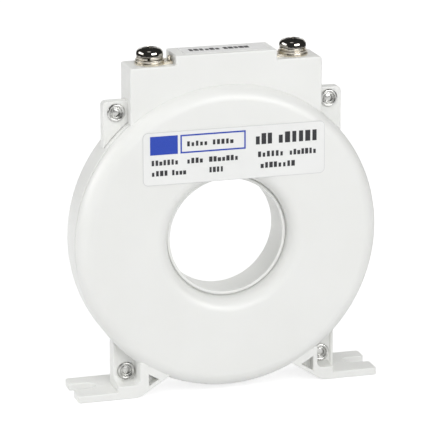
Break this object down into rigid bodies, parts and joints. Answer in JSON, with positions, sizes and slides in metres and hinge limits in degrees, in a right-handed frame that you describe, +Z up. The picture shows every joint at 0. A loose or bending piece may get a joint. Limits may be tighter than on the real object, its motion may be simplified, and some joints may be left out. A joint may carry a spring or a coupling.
{
  "type": "current transformer",
  "caption": "Ring current transformer in a two-part moulded case with slotted feet and a screw terminal block on top.",
  "frame": {"origin": "on the mounting surface, under the middle of the case", "axes": "+X across the ring to the right, +Y along the window's axis from the labelled face to the back, +Z up"},
  "size_m": [0.094, 0.0196, 0.1055],
  "materials": {
    "case_plastic": "smooth moulded, satin",
    "rivet_metal": "rolled, dull nickel",
    "plate_brass": "stamped, nickel flashed",
    "screw_steel": "nickel plated",
    "label_film": "smooth label film",
    "ink_blue": "printed",
    "ink_dark": "printed",
    "clear_label": "clear film",
    "core_steel": "wound silicon steel strip",
    "wrap_tape": "wound tape",
    "copper_wire": "enamelled copper wire",
    "outer_tape": "polyester tape",
    "lead_sleeve": "insulated wire"
  },
  "bodies": {
    "case": {"front_shell": "case_plastic", "back_shell": "case_plastic", "rivet_top_left": "rivet_metal", "rivet_top_right": "rivet_metal", "rivet_bottom_left": "rivet_metal", "rivet_bottom_right": "rivet_metal", "terminal_plate_left": "plate_brass", "terminal_plate_right": "plate_brass", "terminal_nut_left": "screw_steel", "terminal_nut_right": "screw_steel", "rating_label": "label_film", "label_blue_print": "ink_blue", "label_dark_print": "ink_dark", "block_label": "clear_label", "block_label_print": "ink_dark", "strip_core": "core_steel", "core_wrap": "wrap_tape", "secondary_winding": "copper_wire", "outer_tape": "outer_tape", "lead_left": "lead_sleeve", "lead_right": "lead_sleeve"},
    "washers_left": {"plain_washer_left": "screw_steel", "spring_washer_left": "screw_steel"},
    "washers_right": {"plain_washer_right": "screw_steel", "spring_washer_right": "screw_steel"},
    "screw_left": {"terminal_screw_left": "screw_steel"},
    "screw_right": {"terminal_screw_right": "screw_steel"}
  },
  "joints": [
    {"name": "screw_left_lift", "type": "slide", "parent": "case", "child": "washers_left", "axis": [0, 0, 1], "range_m": [0, 0.0035]},
    {"name": "screw_left_turn", "type": "hinge", "parent": "washers_left", "child": "screw_left", "pos_m": [-0.022, 0, 0.1], "axis": [0, 0, 1], "range_deg": [0, 1801]},
    {"name": "screw_right_lift", "type": "slide", "parent": "case", "child": "washers_right", "axis": [0, 0, 1], "range_m": [0, 0.0035]},
    {"name": "screw_right_turn", "type": "hinge", "parent": "washers_right", "child": "screw_right", "pos_m": [0.022, 0, 0.1], "axis": [0, 0, 1], "range_deg": [0, 1801]}
  ],
  "couplings": [
    {"joint": "screw_left_turn", "follows": "screw_left_lift", "rad_per_m": 8976},
    {"joint": "screw_right_turn", "follows": "screw_right_lift", "rad_per_m": 8976}
  ]
}
